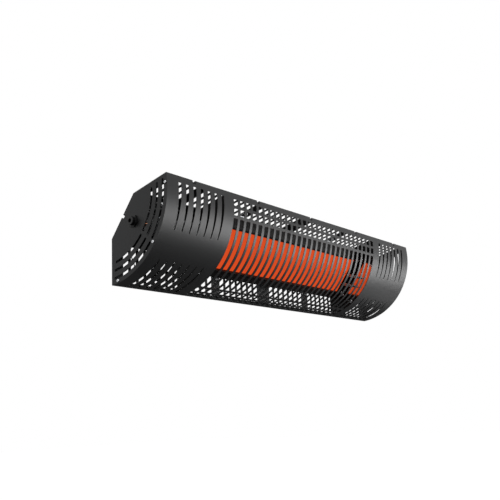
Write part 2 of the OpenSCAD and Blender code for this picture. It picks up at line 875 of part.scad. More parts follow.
// Two shut-off valves in one block: each port opens upwards into a chamber under its plunger
module gas_valve_body() {
    color("#a9adb0") mounted() difference() {
        translate([valve_x0, valve_y0, valve_z0])
            cube([valve_l, valve_y1 - valve_y0, valve_z1 - valve_z0]);
        for (x = [op_1, op_2]) translate([x, seat_y, 0]) {
            translate([0, 0, seat_top]) cylinder(r = chamber_r, h = valve_z1);
            translate([0, 0, seat_floor]) difference() {
                cylinder(r = chamber_r, h = seat_top - seat_floor + 1);
                translate([0, 0, -1]) cylinder(r = port_r + seat_wall, h = seat_top - seat_floor + 1);
            }
            translate([0, 0, inlet_z]) cylinder(r = port_r, h = valve_z1);
        }
        rod(bypass_r, op_1, op_2, seat_y, seat_top + bypass_up);
        rod(inlet_pipe_r + hole_fit, valve_x0 - 1, valve_x0 + pipe_seat, inlet_y, inlet_z);
        rod(inlet_pipe_bore, valve_x0, op_1 + port_r, inlet_y, inlet_z);
        rod(pipe_r + hole_fit, valve_x1 - pipe_seat, valve_x1 + 1, axis_y, inlet_z);
        rod(pipe_bore, op_2 - port_r, valve_x1, axis_y, inlet_z);
        valve_pads() screw_hole(deep_hole);
    }
}

// Closed tube in which a plunger slides
module armature_tube(x) {
    color("#c9c7bd") mounted() translate([x, seat_y, 0]) difference() {
        union() {
            translate([0, 0, valve_z1]) cylinder(r = chamber_r + can_flange_over, h = can_flange);
            translate([0, 0, valve_z1]) cylinder(r = can_r, h = tube_top + can_cap - valve_z1);
        }
        translate([0, 0, valve_z1 - 1]) cylinder(r = plunger_r + run_fit, h = tube_top - valve_z1 + 1);
    }
}

module armature_tube_1() { armature_tube(op_1); }
module armature_tube_2() { armature_tube(op_2); }

module valve_plunger(x) {
    color("#8d9195") mounted() translate([x, seat_y, seat_top + disc_t])
        cylinder(r = plunger_r, h = plunger_top - seat_top - disc_t);
}

module valve_plunger_1() { valve_plunger(op_1); }
module valve_plunger_2() { valve_plunger(op_2); }

module valve_disc(x) {
    color("#222222") mounted() translate([x, seat_y, seat_top]) cylinder(r = disc_r, h = disc_t);
}

module valve_disc_1() { valve_disc(op_1); }
module valve_disc_2() { valve_disc(op_2); }

module solenoid_coil(x) {
    z = valve_z1 + can_flange;
    color("#1d1e20") mounted() translate([x, seat_y, z]) difference() {
        union() {
            cylinder(r = coil_r, h = coil_h);
            translate([-plug_w / 2, -coil_r - plug_out, plug_up]) cube([plug_w, 2 * plug_out, plug_w]);
        }
        translate([0, 0, -1]) cylinder(r = can_r + gap, h = coil_h + 2);
    }
}

module solenoid_coil_1() { solenoid_coil(op_1); }
module solenoid_coil_2() { solenoid_coil(op_2); }

module coil_nuts() {
    color("silver") mounted() for (x = [op_1, op_2])
        translate([x, seat_y, valve_z1 + can_flange + coil_h]) difference() {
            cylinder(r = (can_r + coil_nut_over) / cos(30), h = coil_nut_h, $fn = 6);
            translate([0, 0, -1]) cylinder(r = can_r + hole_fit, h = coil_nut_h + 2);
        }
}

// Screws of the valve bracket: two in the back of the housing, two in the valve body
module valve_feet() {
    for (x = [valve_x0 - hat_side - hat_foot / 2, valve_x1 + hat_side + hat_foot / 2])
        translate([x, flat_depth, inlet_z]) rotate([-90, 0, 0]) children();
}

module valve_pads() {
    for (x = [valve_x0 + pad_inset, valve_x1 - pad_inset])
        translate([x, valve_y1 + hat_t, inlet_z + pad_up]) rotate([-90, 0, 0]) children();
}

module valve_bracket() {
    low = rear_in - hat_t / 2;
    high = valve_y1 + hat_t / 2;
    x0 = valve_x0 - hat_side;
    x1 = valve_x1 + hat_side;
    color("#8c8f91") mounted() difference() {
        translate([0, 0, inlet_z - hat_h / 2]) linear_extrude(height = hat_h)
            bent_strip([[x0 - hat_foot, low], [x0, low], [x0, high], [x1, high],
                [x1, low], [x1 + hat_foot, low]], hat_t);
        valve_feet() screw_hole();
        valve_pads() screw_hole(deep_hole);
    }
}

module valve_screws() {
    color("silver") mounted() {
        valve_feet() screw(7);
        valve_pads() screw(8);
    }
}

module inlet_fitting() {
    inner = -length / 2 + sheet;
    color("#414244") mounted() difference() {
        union() {
            rod(inlet_r, -length / 2 - inlet_out, -length / 2 - nut_t - gap, inlet_y, inlet_z);
            rod(inlet_r - inlet_relief, -length / 2 - nut_t - 1, inner + 1, inlet_y, inlet_z);
            hex(inlet_hex, inner, inner + inlet_hex_t, inlet_y, inlet_z);
            rod(inlet_tail_r, inner, inner + inlet_tail, inlet_y, inlet_z);
        }
        rod(inlet_bore, -length / 2 - inlet_out - 1, inner + inlet_tail + 1, inlet_y, inlet_z);
        rod(inlet_pipe_r + hole_fit, inner + inlet_tail - pipe_seat, inner + inlet_tail + 1,
            inlet_y, inlet_z);
    }
}

module inlet_locknut() {
    color("#414244") mounted() difference() {
        hex(inlet_hex, -length / 2 - nut_t, -length / 2, inlet_y, inlet_z);
        rod(inlet_r - inlet_relief + hole_fit, -length / 2 - nut_t - 1, -length / 2 + 1, inlet_y, inlet_z);
    }
}

module inlet_pipe() {
    color("#b87a4a") mounted()
        tube(inlet_pipe_r, inlet_pipe_bore, -length / 2 + sheet + inlet_tail - pipe_seat,
            valve_x0 + pipe_seat, inlet_y, inlet_z);
}

// Screws of the electrode bracket
module electrode_feet() {
    for (z = [spark_z + plate_screw, flame_z - plate_screw])
        translate([bay_half + partition_t + plate_t, electrode_y, z]) rotate([0, 90, 0]) children();
}

module electrode_bracket() {
    x = bay_half + partition_t;
    color("#8c8f91") mounted() difference() {
        translate([x, electrode_y - plate_w / 2, flame_z - plate_over])
            cube([plate_t, plate_w, spark_z - flame_z + 2 * plate_over]);
        electrode_holes();
        electrode_feet() screw_hole();
    }
}

module electrode_screws() {
    color("silver") mounted() electrode_feet() screw(5);
}

module insulator(z) {
    x = bay_half + partition_t + plate_t;
    color("#ece7dc") mounted() difference() {
        union() {
            rod(insulator_r, bay_half - insulator_in, x + insulator_out, electrode_y, z);
            rod(insulator_r + insulator_collar, x, x + insulator_collar_l, electrode_y, z);
        }
        rod(rod_r + hole_fit, bay_half - insulator_in - 1, x + insulator_out + 1, electrode_y, z);
    }
}

module spark_insulator() { insulator(spark_z); }
module flame_insulator() { insulator(flame_z); }

// Spark rod: its tip turns in towards the frame
module spark_rod() {
    tip_x = open_x - spark_reach;
    color("#8b8d8f") mounted() {
        rod(rod_r, tip_x, bay_half + rod_out, electrode_y, spark_z);
        translate([tip_x, electrode_y, spark_z]) sphere(r = rod_r, $fn = 32);
        translate([tip_x, electrode_y, spark_z]) rotate([-90, 0, 0])
            cylinder(r = rod_r, h = burner_y - electrode_y - spark_gap, $fn = 32);
    }
}

module flame_rod() {
    color("#8b8d8f") mounted()
        rod(rod_r, open_x - flame_reach, bay_half + rod_out, electrode_y, flame_z);
}

// Screws of the ignition controller, on the back of the housing
module controller_feet() {
    for (x = [control_x + control_screw, control_x + control_l - control_screw],
        z = [control_screw - control_z, control_z - control_screw])
        translate([x, flat_depth, z]) rotate([-90, 0, 0]) children();
}

module ignition_controller() {
    color("#2a2b2e") mounted() difference() {
        union() {
            translate([control_x, control_y0, -control_z])
                cube([control_l, control_y1 - control_y0, 2 * control_z]);
            translate([control_x + socket_x, control_y0 - socket_out, socket_up - control_z])
                cube([socket_l, socket_out + 1, socket_h]);
            translate([control_x + control_l - button_x, control_y0 - button_out, control_z - button_z])
                rotate([-90, 0, 0]) cylinder(r = button_r, h = button_out + 1, $fn = 48);
        }
        controller_feet() screw_hole(2 * deep_hole);
    }
}

module controller_spacers() {
    color("#c8c8c4") mounted() difference() {
        controller_feet() translate([0, 0, control_y1 - flat_depth])
            cylinder(r = spacer_r, h = rear_in - control_y1, $fn = 48);
        controller_feet() screw_hole(2 * deep_hole);
    }
}

module controller_screws() {
    color("silver") mounted() controller_feet() screw(20);
}

// Screw of the terminal block
module terminal_feet() {
    translate([terminal_x, flat_depth, 0]) rotate([-90, 0, 0]) children();
}

module terminal_block() {
    color("#d8d5cb") mounted() difference() {
        translate([terminal_x - terminal_w / 2, rear_in - terminal_d, -terminal_h / 2])
            cube([terminal_w, terminal_d, terminal_h]);
        for (z = [-terminal_pole, terminal_pole]) {
            translate([terminal_x, rear_in - terminal_d - 1, z]) rotate([-90, 0, 0])
                cylinder(r = terminal_screw_r, h = terminal_screw_d + 1, $fn = 32);
            rod(wire_r, terminal_x - terminal_w / 2 - 1, terminal_x + terminal_w / 2 + 1, wire_y, z);
        }
        terminal_feet() screw_hole();
    }
}

module cable_gland() {
    color("#1f2022") mounted() difference() {
        union() {
            rod(gland_r, body_half - gland_tail, length / 2 + 1, inlet_y, inlet_z);
            hex(gland_af, length / 2, length / 2 + gland_hex_t, inlet_y, inlet_z);
            rod(gland_cap_r, length / 2 + gland_hex_t - 1, length / 2 + gland_hex_t + gland_cap_l,
                inlet_y, inlet_z);
        }
        rod(gland_bore, body_half - gland_tail - 1, length / 2 + gland_hex_t + gland_cap_l + 1,
            inlet_y, inlet_z);
    }
}

module gland_locknut() {
    color("#1f2022") mounted() difference() {
        hex(gland_nut_af, body_half - gland_nut_t, body_half, inlet_y, inlet_z);
        rod(gland_r + hole_fit, body_half - gland_nut_t - 1, body_half + 1, inlet_y, inlet_z);
    }
}

rear_housing();
front_cover();
left_end_plate();
right_end_plate();
end_plate_screws();
left_partition();
right_partition();
partition_screws();
left_reflector();
right_reflector();
reflector_screws();
burner_casing();
burner_frame();
burner_screws();
plaque_gasket();
ceramic_plaque_1();
ceramic_plaque_2();
ceramic_plaque_3();
ceramic_plaque_4();
ceramic_plaque_5();
ceramic_plaque_6();
ceramic_plaque_7();
burner_brackets();
bracket_screws();
mixing_tube();
injector_bracket();
injector_screws();
gas_injector();
outlet_pipe();
outlet_pipe_nut();
gas_valve_body();
armature_tube_1();
armature_tube_2();
valve_plunger_1();
valve_plunger_2();
valve_disc_1();
valve_disc_2();
solenoid_coil_1();
solenoid_coil_2();
coil_nuts();
valve_bracket();
valve_screws();
inlet_fitting();
inlet_locknut();
inlet_pipe();
electrode_bracket();
electrode_screws();
spark_insulator();
spark_rod();
flame_insulator();
flame_rod();
ignition_controller();
controller_spacers();
controller_screws();
terminal_block();
cable_gland();
gland_locknut();
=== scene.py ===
# Dresses the wall-hung ceramic radiant heater: finishes, finer sheet metal, studio and camera.
import bpy
import json
import math
import numpy as np
from mathutils import Matrix, Vector


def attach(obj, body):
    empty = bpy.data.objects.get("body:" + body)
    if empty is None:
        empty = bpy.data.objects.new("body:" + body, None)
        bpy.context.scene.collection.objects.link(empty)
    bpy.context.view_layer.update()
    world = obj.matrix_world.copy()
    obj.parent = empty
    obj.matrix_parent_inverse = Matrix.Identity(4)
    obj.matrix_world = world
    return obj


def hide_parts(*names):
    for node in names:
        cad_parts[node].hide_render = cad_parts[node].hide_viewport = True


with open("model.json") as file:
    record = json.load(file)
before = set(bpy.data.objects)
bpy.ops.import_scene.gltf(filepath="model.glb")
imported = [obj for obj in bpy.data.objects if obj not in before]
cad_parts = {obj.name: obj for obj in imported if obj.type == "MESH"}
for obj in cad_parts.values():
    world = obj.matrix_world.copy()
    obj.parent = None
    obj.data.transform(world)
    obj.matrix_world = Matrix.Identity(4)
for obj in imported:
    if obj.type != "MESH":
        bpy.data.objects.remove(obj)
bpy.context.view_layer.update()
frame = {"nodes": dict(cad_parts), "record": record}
nodes = frame["nodes"]
mm = 0.001

# Sizes of the heater in metres, the same ones that its solids follow
heater = {
    "chord": 0.300,       # height of the open front, fold to fold
    "flatDepth": 0.070,   # depth of the housing behind the folds
    "rearFlat": 0.124,    # height of the flat at the back
    "bulge": 0.066,       # how far the arc cover stands out
    "sheet": 0.0015,
    "fixingEdge": 0.024,  # wall holes above the lower fold
}
tilt = math.atan(heater["flatDepth"] / ((heater["chord"] - heater["rearFlat"]) / 2))
arcR = (heater["bulge"] ** 2 + (heater["chord"] / 2) ** 2) / (2 * heater["bulge"])
arcY = arcR - heater["bulge"]
wallY = math.sin(tilt) * heater["chord"] / 2
fixingZ = heater["fixingEdge"] - math.cos(tilt) * heater["chord"] / 2


# A direction taken from the bench to the wall: turned by the lean about X
def leaned(x, y, z):
    c, s = math.cos(tilt), math.sin(tilt)
    return np.stack([x, c * y - s * z, s * y + c * z], -1)


# A place taken from the bench to the wall: leaned, then moved so that the wall face is y = 0
def mounted(points):
    p = np.asarray(points, float)
    return leaned(p[..., 0], p[..., 1], p[..., 2]) - (0, wallY, fixingZ)


# Camera of the photograph
cameraSetup = {
    "place": (-1.7262, -1.3290, -0.3476),
    "azimuth": -51.56,    # degrees, 0 looks along +Y
    "elevation": -12.87,
    "roll": -2.65,
    "focal": 744.9,       # in pixels of a picture this wide
    "width": 500,
    "sensor": 36,         # millimetres
    "clipStart": 0.05,
}


def makeCamera():
    cam = bpy.data.cameras.new("camera")
    cam.sensor_width = cameraSetup["sensor"]
    cam.lens = cameraSetup["focal"] / cameraSetup["width"] * cam.sensor_width
    cam.clip_start = cameraSetup["clipStart"]
    obj = bpy.data.objects.new("camera", cam)
    bpy.context.collection.objects.link(obj)
    az, el, roll = (math.radians(cameraSetup[k]) for k in ("azimuth", "elevation", "roll"))
    look = Vector((-math.sin(az) * math.cos(el), math.cos(az) * math.cos(el), -math.sin(el)))
    right = look.cross(Vector((0, 0, 1))).normalized()
    up = right.cross(look)
    c, s = math.cos(roll), math.sin(roll)
    right, up = right * c + up * s, up * c - right * s
    turn = Matrix((right, up, -look)).transposed().to_4x4()
    obj.matrix_world = Matrix.Translation(Vector(cameraSetup["place"])) @ turn
    bpy.context.scene.camera = obj


makeCamera()
print("camera placed")


# Node helpers
def newMaterial(name):
    mat = bpy.data.materials.new(name)
    mat.use_nodes = True
    mat.node_tree.nodes.clear()
    out = mat.node_tree.nodes.new("ShaderNodeOutputMaterial")
    bsdf = mat.node_tree.nodes.new("ShaderNodeBsdfPrincipled")
    mat.node_tree.links.new(bsdf.outputs["BSDF"], out.inputs["Surface"])
    return mat, bsdf


def newGroup(name, inputs, outputs):
    group = bpy.data.node_groups.new(name, "ShaderNodeTree")
    for way, sockets in (("INPUT", inputs), ("OUTPUT", outputs)):
        for label, kind in sockets:
            group.interface.new_socket(label, in_out=way, socket_type="NodeSocket" + kind)
    return group, group.nodes.new("NodeGroupInput"), group.nodes.new("NodeGroupOutput")


def addNode(tree, kind, **values):
    node = tree.nodes.new(kind)
    for key, value in values.items():
        setattr(node, key, value)
    return node


def setInputs(node, **values):
    for key, value in values.items():
        node.inputs[key].default_value = value
    return node


# Math node fed by numbers or by outputs of other nodes
def addMath(tree, operation, *values, clamp=False):
    node = addNode(tree, "ShaderNodeMath", operation=operation, use_clamp=clamp)
    for socket, value in zip(node.inputs, values):
        if isinstance(value, bpy.types.NodeSocket):
            tree.links.new(value, socket)
        else:
            socket.default_value = value
    return node.outputs[0]


# Texture of every finish but the glowing one: a colour that drifts to its tint, a roughness and a height
coatNoise = {
    "fine": {"Detail": 2.0, "Roughness": 0.6},
    "broad": {"Scale": 7.0, "Detail": 4.0, "Roughness": 0.55},
    "fineShare": 0.25,    # how much each noise moves the colour
    "broadShare": 0.8,
    "middle": 0.5,        # a noise swings about this value
}


def makeCoatGroup():
    group, start, end = newGroup(
        "coatTexture",
        [("Colour", "Color"), ("Tint", "Color"), ("Rough", "Float"), ("Vary", "Float"), ("Grain", "Float"),
         ("Stretch", "Vector")],
        [("Colour", "Color"), ("Rough", "Float"), ("Height", "Float")])
    link = group.links.new
    coord = addNode(group, "ShaderNodeTexCoord")
    scale = addNode(group, "ShaderNodeVectorMath", operation="MULTIPLY")
    link(coord.outputs["Object"], scale.inputs[0])
    link(start.outputs["Stretch"], scale.inputs[1])
    fine = setInputs(addNode(group, "ShaderNodeTexNoise"), **coatNoise["fine"])
    link(scale.outputs["Vector"], fine.inputs["Vector"])
    link(start.outputs["Grain"], fine.inputs["Scale"])
    broad = setInputs(addNode(group, "ShaderNodeTexNoise"), **coatNoise["broad"])
    link(coord.outputs["Object"], broad.inputs["Vector"])
    fineShare = addMath(group, "MULTIPLY", fine.outputs["Fac"], coatNoise["fineShare"])
    share = addMath(group, "MULTIPLY_ADD", broad.outputs["Fac"], coatNoise["broadShare"], fineShare)
    mix = addNode(group, "ShaderNodeMix", data_type="RGBA")
    link(share, mix.inputs["Factor"])
    link(start.outputs["Colour"], mix.inputs["A"])
    link(start.outputs["Tint"], mix.inputs["B"])
    link(mix.outputs["Result"], end.inputs["Colour"])
    swing = addMath(group, "SUBTRACT", broad.outputs["Fac"], coatNoise["middle"])
    rough = addMath(group, "MULTIPLY_ADD", swing, start.outputs["Vary"], start.outputs["Rough"])
    link(rough, end.inputs["Rough"])
    link(fine.outputs["Fac"], end.inputs["Height"])
    return group


coatGroup = makeCoatGroup()


def coatedMaterial(name, colour, tint, rough, vary=0.1, grain=900.0, stretch=(1, 1, 1), metallic=0.0,
                   bump=0.1, depth=0.0002, coat=0.0, coatRough=0.3, specular=0.5, glow=(0, 0, 0)):
    mat, bsdf = newMaterial(name)
    tree = mat.node_tree
    texture = addNode(tree, "ShaderNodeGroup", node_tree=coatGroup)
    setInputs(texture, Colour=(*colour, 1), Tint=(*tint, 1), Rough=rough, Vary=vary, Grain=grain,
              Stretch=stretch)
    tree.links.new(texture.outputs["Colour"], bsdf.inputs["Base Color"])
    tree.links.new(texture.outputs["Rough"], bsdf.inputs["Roughness"])
    relief = setInputs(addNode(tree, "ShaderNodeBump"), Strength=bump, Distance=depth)
    tree.links.new(texture.outputs["Height"], relief.inputs["Height"])
    tree.links.new(relief.outputs["Normal"], bsdf.inputs["Normal"])
    setInputs(bsdf, **{"Metallic": metallic, "Coat Weight": coat, "Coat Roughness": coatRough,
                       "Specular IOR Level": specular, "Emission Color": (*glow, 1),
                       "Emission Strength": 1.0})
    return mat


# Glowing ceramic: each point radiates by its own heat, low in the ports and high in the grooves
plaqueLook = {
    "heat": (0.2, 1.6),       # ends of the scale of heat
    # place on that scale, as a share, and colour
    "tones": ((0.2, (0.66, 0.064, 0.011)), (0.75, (0.90, 0.120, 0.022)), (1.0, (0.98, 0.180, 0.040))),
    "strength": 1.0,
    "drift": 0.25,            # slow change of heat over the whole row
    "driftNoise": {"Scale": 9.0, "Detail": 3.0},
    "body": ((0.05, 0.018, 0.01), (0.09, 0.035, 0.02)),    # the ceramic itself and its mottling
    "bodyNoise": {"Scale": 600.0, "Detail": 2.0},
    "rough": 0.95,
}


def plaqueMaterial():
    mat, bsdf = newMaterial("glowingPlaque")
    tree = mat.node_tree
    link = tree.links.new
    coord = addNode(tree, "ShaderNodeTexCoord")
    heat = addNode(tree, "ShaderNodeAttribute", attribute_name="heat")
    drift = setInputs(addNode(tree, "ShaderNodeTexNoise"), **plaqueLook["driftNoise"])
    link(coord.outputs["Object"], drift.inputs["Vector"])
    level = addMath(tree, "MULTIPLY_ADD", drift.outputs["Fac"], plaqueLook["drift"], heat.outputs["Fac"])
    coldest, hottest = plaqueLook["heat"]
    share = setInputs(addNode(tree, "ShaderNodeMapRange"), **{"From Min": coldest, "From Max": hottest})
    link(level, share.inputs["Value"])
    ramp = addNode(tree, "ShaderNodeValToRGB")
    stops = ramp.color_ramp.elements
    stops.new(plaqueLook["tones"][1][0])
    for stop, (at, colour) in zip(stops, plaqueLook["tones"]):
        stop.position = at
        stop.color = (*colour, 1)
    link(share.outputs["Result"], ramp.inputs["Fac"])
    link(ramp.outputs["Color"], bsdf.inputs["Emission Color"])
    dust = setInputs(addNode(tree, "ShaderNodeTexNoise"), **plaqueLook["bodyNoise"])
    link(coord.outputs["Object"], dust.inputs["Vector"])
    body = addNode(tree, "ShaderNodeMix", data_type="RGBA")
    link(dust.outputs["Fac"], body.inputs["Factor"])
    for key, colour in zip("AB", plaqueLook["body"]):
        body.inputs[key].default_value = (*colour, 1)
    link(body.outputs["Result"], bsdf.inputs["Base Color"])
    setInputs(bsdf, **{"Emission Strength": plaqueLook["strength"], "Roughness": plaqueLook["rough"],
                       "Specular IOR Level": 0.0})
    return mat


materials = {
    "painted_dark": coatedMaterial("powderCoat", (0.010, 0.0102, 0.0108), (0.016, 0.0163, 0.017), 0.41,
                                   vary=0.06, grain=1400.0, specular=0.3),
    "frame_dark": coatedMaterial("heatBlack", (0.004, 0.0038, 0.0036), (0.009, 0.008, 0.0075), 0.6,
                                 vary=0.2, grain=500.0, bump=0.2, specular=0.12),
    "polished_sheet": coatedMaterial("polishedSheet", (0.80, 0.80, 0.81), (0.72, 0.72, 0.73), 0.08,
                                     vary=0.05, grain=260.0, stretch=(1, 1, 14), metallic=1.0, bump=0.02),
    "plated_sheet": coatedMaterial("platedSheet", (0.42, 0.43, 0.44), (0.32, 0.32, 0.33), 0.38,
                                   vary=0.2, grain=420.0, metallic=1.0, bump=0.06),
    "zinc": coatedMaterial("brightZinc", (0.78, 0.79, 0.8), (0.66, 0.67, 0.69), 0.25,
                           vary=0.15, metallic=1.0, bump=0.05),
    "glowing_ceramic": plaqueMaterial(),
    "insulator": coatedMaterial("glazedInsulator", (0.78, 0.75, 0.69), (0.7, 0.66, 0.6), 0.22,
                                grain=300.0, bump=0.03, coat=0.6, coatRough=0.1),
    "fibre": coatedMaterial("ceramicFibre", (0.10, 0.035, 0.02), (0.2, 0.1, 0.06), 0.95, vary=0.05,
                            grain=800.0, bump=0.5, depth=0.0006, specular=0.1, glow=(0.5, 0.042, 0.007)),
    "brass": coatedMaterial("turnedBrass", (0.62, 0.44, 0.17), (0.5, 0.34, 0.13), 0.28,
                            vary=0.15, grain=260.0, stretch=(16, 1, 1), metallic=1.0, bump=0.06),
    "copper": coatedMaterial("drawnCopper", (0.68, 0.32, 0.19), (0.5, 0.21, 0.12), 0.3,
                             vary=0.2, grain=180.0, stretch=(1, 6, 6), metallic=1.0, bump=0.05),
    "cast_metal": coatedMaterial("castAlloy", (0.5, 0.51, 0.52), (0.4, 0.41, 0.42), 0.5,
                                 vary=0.2, grain=700.0, metallic=0.9, bump=0.35, depth=0.0003),
    "dark_plastic": coatedMaterial("darkPlastic", (0.02, 0.02, 0.022), (0.03, 0.03, 0.032), 0.5,
                                   grain=1200.0, bump=0.2),
    "light_plastic": coatedMaterial("palePlastic", (0.62, 0.6, 0.54), (0.55, 0.52, 0.46), 0.45),
    "rubber": coatedMaterial("valveRubber", (0.02, 0.02, 0.02), (0.03, 0.03, 0.03), 0.8,
                             bump=0.2),
    "rod_steel": coatedMaterial("heatTintedRod", (0.3, 0.28, 0.27), (0.2, 0.15, 0.14), 0.35,
                                vary=0.2, grain=500.0, metallic=1.0, bump=0.08),
}
print("materials made:", len(materials))

slotOf = {row["node"]: row["material_slot"] for row in frame["record"]["subparts"]}
for name, obj in nodes.items():
    finish = materials[slotOf[name]]
    for slot in obj.material_slots:
        slot.material = finish
print("finishes put on", len(nodes), "nodes")


# Leg of a section: its length, and points with outward normals at distances along a straight line
def lineLeg(start, end, outward):
    start, end, outward = (np.array(p, float) for p in (start, end, outward))
    size = float(np.hypot(*(end - start)))

    def at(s):
        share = np.asarray(s, float)[:, None] / size
        return start + share * (end - start), np.repeat(outward[None], len(share), 0)
    return size, at


# The same along an arc about a centre, from minus half to plus half of its angle
def arcLeg(centre, radius, half):
    def at(s):
        a = np.asarray(s, float) / radius - half
        outward = np.stack([-np.cos(a), np.sin(a)], 1)
        return np.array(centre) + radius * outward, outward
    return 2 * half * radius, at


# Section of a folded sheet, as a table over the distance v from its middle: outside a fold the legs are
# joined by a parabola tangent to both, inside they meet one thickness in, and as far as the squeeze from a
# fold the inner points close up, so that both sides keep the same v
def foldedSection(legs, thick, foldRadius=0.0, squeeze=0.0, step=0.3):
    ends = np.cumsum([0.0] + [size for size, at in legs])
    v = np.unique(np.concatenate([np.arange(0, ends[-1], step), ends]))
    turns = []
    for (size, before), (_, after) in zip(legs[:-1], legs[1:]):
        nA, nB = before([size])[1][0], after([0.0])[1][0]
        half = (math.pi - math.acos(float(np.clip(nA @ nB, -1, 1)))) / 2
        turns.append((thick / math.tan(half), foldRadius / math.tan(half)))
    cuts = [0.0] + [cut for cut, reach in turns] + [0.0]
    outer, inner, normal = (np.zeros((len(v), 2)) for k in range(3))
    for i, (size, at) in enumerate(legs):
        on = (v >= ends[i]) & (v <= ends[i + 1])
        s = v[on] - ends[i]
        outer[on], normal[on] = at(s)
        if squeeze:
            back = size - s
            nearStart = cuts[i] + s * (squeeze - cuts[i]) / squeeze
            nearEnd = size - cuts[i + 1] - back * (squeeze - cuts[i + 1]) / squeeze
            s = np.where(s < squeeze, nearStart, s)
            s = np.where(back < min(squeeze, size / 2), nearEnd, s)
        points, facing = at(s)
        inner[on] = points - thick * facing
    for i, (_, reach) in enumerate(turns):
        on = np.abs(v - ends[i + 1]) < reach
        t = ((v[on] - ends[i + 1]) / reach + 1)[:, None] / 2
        (p0, n0), (p2, n2) = legs[i][1]([legs[i][0] - reach]), legs[i + 1][1]([reach])
        p1 = legs[i][1]([legs[i][0]])[0]
        outer[on] = (1 - t) ** 2 * p0 + 2 * t * (1 - t) * p1 + t ** 2 * p2
        blend = (1 - t) * n0 + t * n2
        normal[on] = blend / np.linalg.norm(blend, axis=1, keepdims=True)
    along = np.gradient(outer, v, axis=0)
    along /= np.linalg.norm(along, axis=1, keepdims=True)
    v -= ends[-1] / 2
    return {"v": v, "outer": outer, "inner": inner, "normal": normal, "along": along, "thick": thick}


def sectionAt(section, key, v):
    return np.stack([np.interp(v, section["v"], section[key][:, k]) for k in range(2)], -1)


# Outline of a slot met one to one by the edge of its cell: a point on a cell side keeps its place along the
# straight part of the slot and turns up to 45 degrees round the corner arc in what is left of the side
def slotRing(uLines, vLines, cell):
    a, b, c, d = cell["at"]
    iu = np.concatenate([np.arange(a, b), np.full(d - c, b), np.arange(b, a, -1), np.full(d - c, a)])
    iv = np.concatenate([np.full(b - a, c), np.arange(c, d), np.full(b - a, d), np.arange(d, c, -1)])
    du, dv = uLines[iu] - cell["centre"][0], vLines[iv] - cell["centre"][1]
    onSide = np.concatenate([np.zeros(b - a, bool), np.ones(d - c, bool)] * 2)
    (halfU, halfV), r = cell["half"], cell["corner"]

    def turned(x, straight, low, high):
        room = np.where(x > 0, high, low) - straight
        angle = math.pi / 4 * np.clip((np.abs(x) - straight) / room, 0, 1)
        return np.sign(x) * (np.minimum(np.abs(x), straight) + r * np.sin(angle)), angle

    reach = [cell["centre"][0] - uLines[a], uLines[b] - cell["centre"][0],
             cell["centre"][1] - vLines[c], vLines[d] - cell["centre"][1]]
    vSide, angleV = turned(dv, halfV - r, reach[2], reach[3])
    uFlat, angleU = turned(du, halfU - r, reach[0], reach[1])
    su, sv = np.sign(du), np.sign(dv)
    u = np.where(onSide, su * (halfU - r + r * np.cos(angleV)), uFlat)
    v = np.where(onSide, vSide, sv * (halfV - r + r * np.cos(angleU)))
    nu = np.where(onSide, su * np.cos(angleV), su * np.sin(angleU))
    nv = np.where(onSide, sv * np.sin(angleV), sv * np.cos(angleU))
    v = v + cell["centre"][1]
    u = u * (cell["narrow"](v) if "narrow" in cell else 1) + cell["centre"][0]
    return iu, iv, u, v, nu, nv


# Index of the grid line that is nearest to a place
def nearest(lines, x):
    return int(np.argmin(np.abs(lines - x)))


